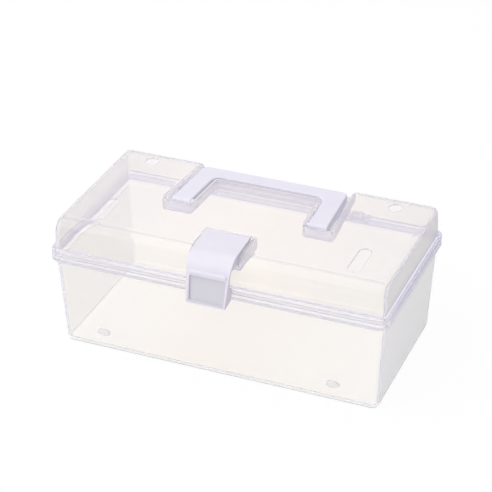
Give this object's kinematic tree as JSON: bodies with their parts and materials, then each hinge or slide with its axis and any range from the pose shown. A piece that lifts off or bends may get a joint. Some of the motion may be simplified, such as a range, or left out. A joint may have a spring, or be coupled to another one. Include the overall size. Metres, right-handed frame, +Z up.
{
  "type": "art supply box",
  "caption": "Clear rectangular carry box with a hinged crowned lid, a fold-down bow handle in a trough on top and a snap latch over the front rim.",
  "frame": {"origin": "centre of the tub's flat underside, on the surface it stands on", "axes": "+X to the right seen from the latch side, +Y to the back where the hinge is, +Z up"},
  "size_m": [0.26, 0.1515, 0.1051],
  "materials": {
    "clear_tub": "clear glossy moulded polypropylene",
    "clear_lid": "clear glossy moulded polypropylene",
    "lavender_white": "pale lavender-white satin moulding",
    "clear_pin": "clear moulded plastic rod"
  },
  "bodies": {
    "tub": {"tub": "clear_tub", "hinge_pin_left": "clear_pin", "hinge_pin_right": "clear_pin"},
    "lid": {"lid": "clear_lid"},
    "handle": {"handle": "lavender_white"},
    "latch": {"latch": "lavender_white"}
  },
  "joints": [
    {"name": "lid_hinge", "type": "hinge", "parent": "tub", "child": "lid", "pos_m": [0, 0.06945, 0.0756], "axis": [-1, 0, 0], "range_deg": [0, 105]},
    {"name": "handle_swing", "type": "hinge", "parent": "lid", "child": "handle", "pos_m": [0, 0.0042, 0.0994], "axis": [1, 0, 0], "range_deg": [0, 90]},
    {"name": "latch_swing", "type": "hinge", "parent": "lid", "child": "latch", "pos_m": [0, -0.0378, 0.1002], "axis": [-1, 0, 0], "range_deg": [0, 85]}
  ]
}
